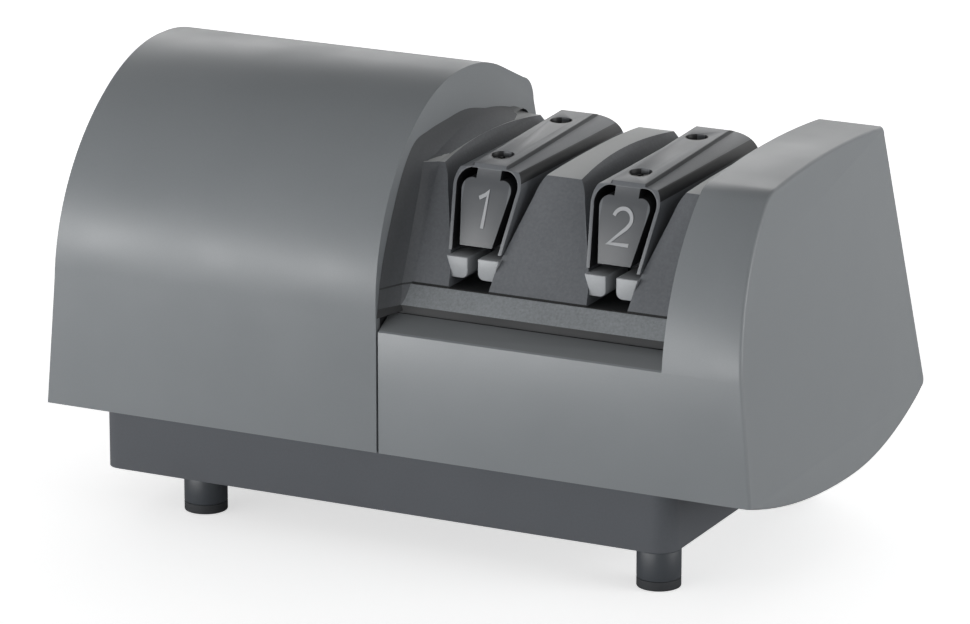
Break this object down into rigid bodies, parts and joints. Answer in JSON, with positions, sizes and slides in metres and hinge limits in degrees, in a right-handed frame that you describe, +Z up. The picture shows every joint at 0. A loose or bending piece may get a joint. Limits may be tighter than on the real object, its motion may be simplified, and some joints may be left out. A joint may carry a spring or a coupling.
{
  "type": "electric knife sharpener",
  "caption": "Bench knife sharpener with an arched motor hood, V-shaped blade slots with guide saddles, conical abrasive discs on one shaft, and a base on round feet.",
  "frame": {"origin": "on the table under the middle of the object", "axes": "+X along the shaft from the motor to the end cap, +Y to the back, +Z up"},
  "size_m": [0.24, 0.1359, 0.1404],
  "materials": {
    "base_plastic": "fine textured dark grey",
    "bearing_bronze": "sintered bronze",
    "black_plastic": "semi matt black",
    "blade_rest_plastic": "light grey",
    "bracket_steel": "zinc plated",
    "coil_copper": "enamelled copper wire",
    "diamond_abrasive": "fine diamond grit",
    "disc_steel": "turned",
    "fan_plastic": "natural white",
    "foot_plastic": "dark grey",
    "foot_rubber": "matt black",
    "lamination_steel": "stacked sheet edges",
    "saddle_plastic": "satin dark grey",
    "satin_casing": "satin grey painted moulding",
    "screw_steel": "blackened",
    "shaft_steel": "ground",
    "textured_housing": "fine textured dark grey"
  },
  "bodies": {
    "casing": {"base_tray": "base_plastic", "bay_housing": "textured_housing", "bearing_left": "bearing_bronze", "bearing_right": "bearing_bronze", "blade_rest_1_front_left": "blade_rest_plastic", "blade_rest_1_front_right": "blade_rest_plastic", "blade_rest_1_rear_left": "blade_rest_plastic", "blade_rest_1_rear_right": "blade_rest_plastic", "blade_rest_2_front_left": "blade_rest_plastic", "blade_rest_2_front_right": "blade_rest_plastic", "blade_rest_2_rear_left": "blade_rest_plastic", "blade_rest_2_rear_right": "blade_rest_plastic", "cable_gland": "black_plastic", "end_bearing": "bearing_bronze", "end_bearing_bracket": "bracket_steel", "end_housing": "satin_casing", "field_coil": "coil_copper", "foot_front_left": "foot_plastic", "foot_front_right": "foot_plastic", "foot_pad_front_left": "foot_rubber", "foot_pad_front_right": "foot_rubber", "foot_pad_rear_left": "foot_rubber", "foot_pad_rear_right": "foot_rubber", "foot_rear_left": "foot_plastic", "foot_rear_right": "foot_plastic", "guide_saddle_1": "saddle_plastic", "guide_saddle_2": "saddle_plastic", "motor_bracket_left": "bracket_steel", "motor_bracket_right": "bracket_steel", "motor_carrier": "bracket_steel", "motor_hood": "satin_casing", "saddle_screws": "screw_steel", "stator_laminations": "lamination_steel", "switch_housing": "black_plastic"},
    "drive": {"cooling_fan": "fan_plastic", "disc_spring_1": "shaft_steel", "disc_spring_2": "shaft_steel", "drive_shaft": "shaft_steel", "rotor_core": "lamination_steel", "stop_ring_1_left": "shaft_steel", "stop_ring_1_right": "shaft_steel", "stop_ring_2_left": "shaft_steel", "stop_ring_2_right": "shaft_steel"},
    "disc_1_left": {"abrasive_ring_1_left": "diamond_abrasive", "disc_hub_1_left": "disc_steel"},
    "disc_1_right": {"abrasive_ring_1_right": "diamond_abrasive", "disc_hub_1_right": "disc_steel"},
    "disc_2_left": {"abrasive_ring_2_left": "diamond_abrasive", "disc_hub_2_left": "disc_steel"},
    "disc_2_right": {"abrasive_ring_2_right": "diamond_abrasive", "disc_hub_2_right": "disc_steel"},
    "rocker": {"rocker_switch": "black_plastic"}
  },
  "joints": [
    {"name": "shaft_spin", "type": "hinge", "parent": "casing", "child": "drive", "pos_m": [-0.0037, -0.0108, 0.072], "axis": [1, 0, 0], "continuous": true},
    {"name": "disc_1_left_slide", "type": "slide", "parent": "drive", "child": "disc_1_left", "axis": [1, 0, 0], "range_m": [0, 0.0012], "stiffness_N_per_m": 800, "springref_m": -0.0012, "deforming": ["disc_spring_1"]},
    {"name": "disc_1_right_slide", "type": "slide", "parent": "drive", "child": "disc_1_right", "axis": [-1, 0, 0], "range_m": [0, 0.0012], "stiffness_N_per_m": 800, "springref_m": -0.0012, "deforming": ["disc_spring_1"]},
    {"name": "disc_2_left_slide", "type": "slide", "parent": "drive", "child": "disc_2_left", "axis": [1, 0, 0], "range_m": [0, 0.0012], "stiffness_N_per_m": 800, "springref_m": -0.0012, "deforming": ["disc_spring_2"]},
    {"name": "disc_2_right_slide", "type": "slide", "parent": "drive", "child": "disc_2_right", "axis": [-1, 0, 0], "range_m": [0, 0.0012], "stiffness_N_per_m": 800, "springref_m": -0.0012, "deforming": ["disc_spring_2"]},
    {"name": "rocker_press", "type": "hinge", "parent": "casing", "child": "rocker", "pos_m": [-0.11306, -0.006, 0.08378], "axis": [0, 1, 0], "range_deg": [0, 12]}
  ]
}
